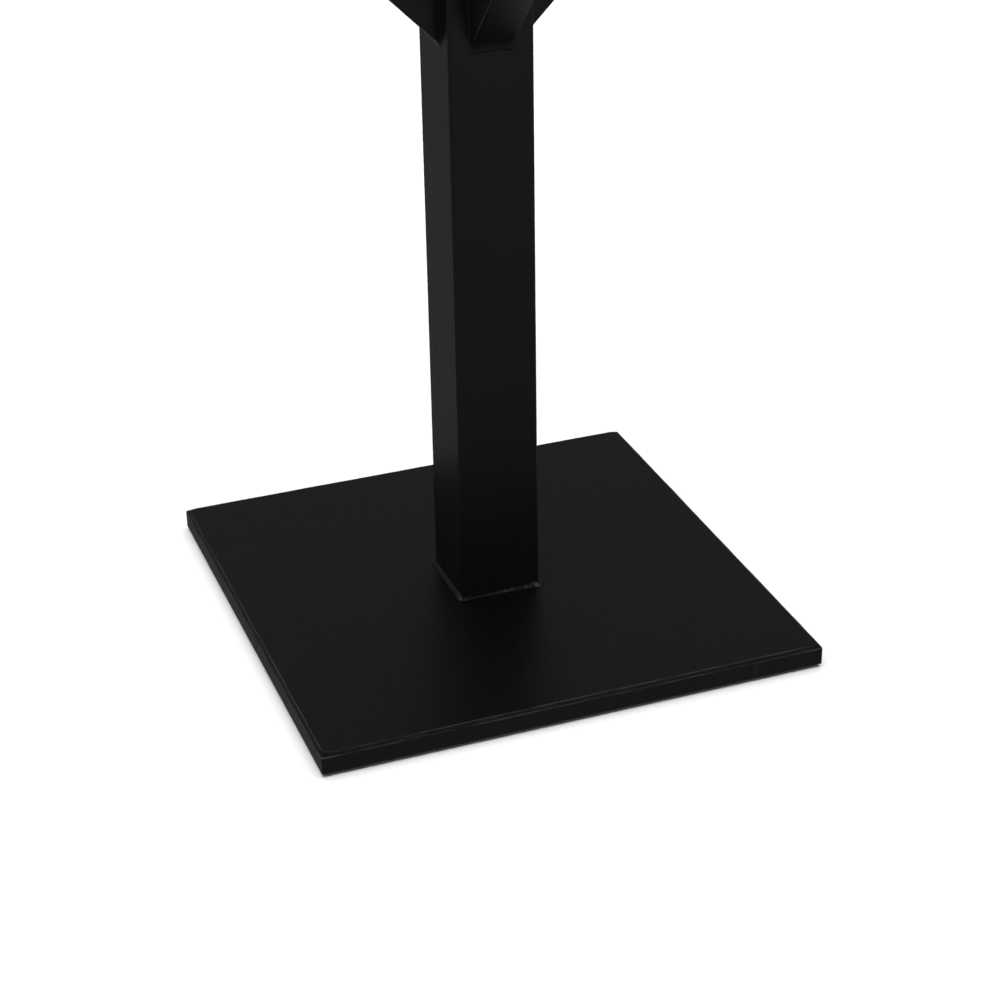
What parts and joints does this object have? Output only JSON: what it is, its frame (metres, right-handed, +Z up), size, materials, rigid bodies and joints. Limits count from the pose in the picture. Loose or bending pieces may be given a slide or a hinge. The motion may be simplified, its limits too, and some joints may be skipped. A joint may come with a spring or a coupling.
{
  "type": "four way clothing rack",
  "caption": "Free-standing garment rack: square base plate, square column and slanted branches that carry height-adjustable hanging arms with snap-button locks.",
  "frame": {"origin": "on the floor, centred under the base plate", "axes": "+Z up along the column, +X along the right arm, +Y along the back arm, so the front arm points along -Y"},
  "size_m": [1.1616, 1.1616, 1.24],
  "materials": {
    "coated_plate": "satin black powder coat over steel plate with ground edges",
    "coated_column": "satin black powder coat over square steel tube",
    "coated_tube": "satin black powder coat over square steel tube",
    "coated_weld": "glossier black powder coat over a rippled weld bead",
    "cap_plastic": "moulded black plastic with a fine texture",
    "pad_rubber": "plain dark rubber",
    "plated_steel": "zinc plated spring steel"
  },
  "bodies": {
    "root": {"base_plate": "coated_plate", "floor_pads": "pad_rubber", "column": "coated_column", "foot_weld": "coated_weld", "column_cap": "cap_plastic", "branch_welds": "coated_weld", "mitre_welds": "coated_weld", "branch_right": "coated_tube", "branch_back": "coated_tube", "branch_left": "coated_tube", "branch_front": "coated_tube", "sleeve_right": "coated_tube", "sleeve_back": "coated_tube", "sleeve_left": "coated_tube", "sleeve_front": "coated_tube", "guide_bushing_right": "cap_plastic", "guide_bushing_back": "cap_plastic", "guide_bushing_left": "cap_plastic", "guide_bushing_front": "cap_plastic"},
    "right_arm": {"upright_right": "coated_tube", "arm_right": "coated_tube", "arm_weld_right": "coated_weld", "end_stop_right": "coated_tube", "upright_cap_right": "cap_plastic", "snap_spring_right": "plated_steel"},
    "right_button": {"snap_button_right": "plated_steel"},
    "back_arm": {"upright_back": "coated_tube", "arm_back": "coated_tube", "arm_weld_back": "coated_weld", "end_stop_back": "coated_tube", "upright_cap_back": "cap_plastic", "snap_spring_back": "plated_steel"},
    "back_button": {"snap_button_back": "plated_steel"},
    "left_arm": {"upright_left": "coated_tube", "arm_left": "coated_tube", "arm_weld_left": "coated_weld", "end_stop_left": "coated_tube", "upright_cap_left": "cap_plastic", "snap_spring_left": "plated_steel"},
    "left_button": {"snap_button_left": "plated_steel"},
    "front_arm": {"upright_front": "coated_tube", "arm_front": "coated_tube", "arm_weld_front": "coated_weld", "end_stop_front": "coated_tube", "upright_cap_front": "cap_plastic", "snap_spring_front": "plated_steel"},
    "front_button": {"snap_button_front": "plated_steel"}
  },
  "joints": [
    {"name": "right_height", "type": "slide", "parent": "root", "child": "right_arm", "axis": [0, 0, 1], "range_m": [0, 0.3]},
    {"name": "back_height", "type": "slide", "parent": "root", "child": "back_arm", "axis": [0, 0, 1], "range_m": [0, 0.3]},
    {"name": "left_height", "type": "slide", "parent": "root", "child": "left_arm", "axis": [0, 0, 1], "range_m": [0, 0.3]},
    {"name": "front_height", "type": "slide", "parent": "root", "child": "front_arm", "axis": [0, 0, 1], "range_m": [0, 0.3]},
    {"name": "right_button_press", "type": "slide", "parent": "right_arm", "child": "right_button", "axis": [-1, 0, 0], "range_m": [0, 0.0071], "stiffness_N_per_m": 800, "springref_m": -0.004, "deforming": ["snap_spring_right"]},
    {"name": "back_button_press", "type": "slide", "parent": "back_arm", "child": "back_button", "axis": [0, -1, 0], "range_m": [0, 0.0071], "stiffness_N_per_m": 800, "springref_m": -0.004, "deforming": ["snap_spring_back"]},
    {"name": "left_button_press", "type": "slide", "parent": "left_arm", "child": "left_button", "axis": [1, 0, 0], "range_m": [0, 0.0071], "stiffness_N_per_m": 800, "springref_m": -0.004, "deforming": ["snap_spring_left"]},
    {"name": "front_button_press", "type": "slide", "parent": "front_arm", "child": "front_button", "axis": [0, 1, 0], "range_m": [0, 0.0071], "stiffness_N_per_m": 800, "springref_m": -0.004, "deforming": ["snap_spring_front"]}
  ]
}
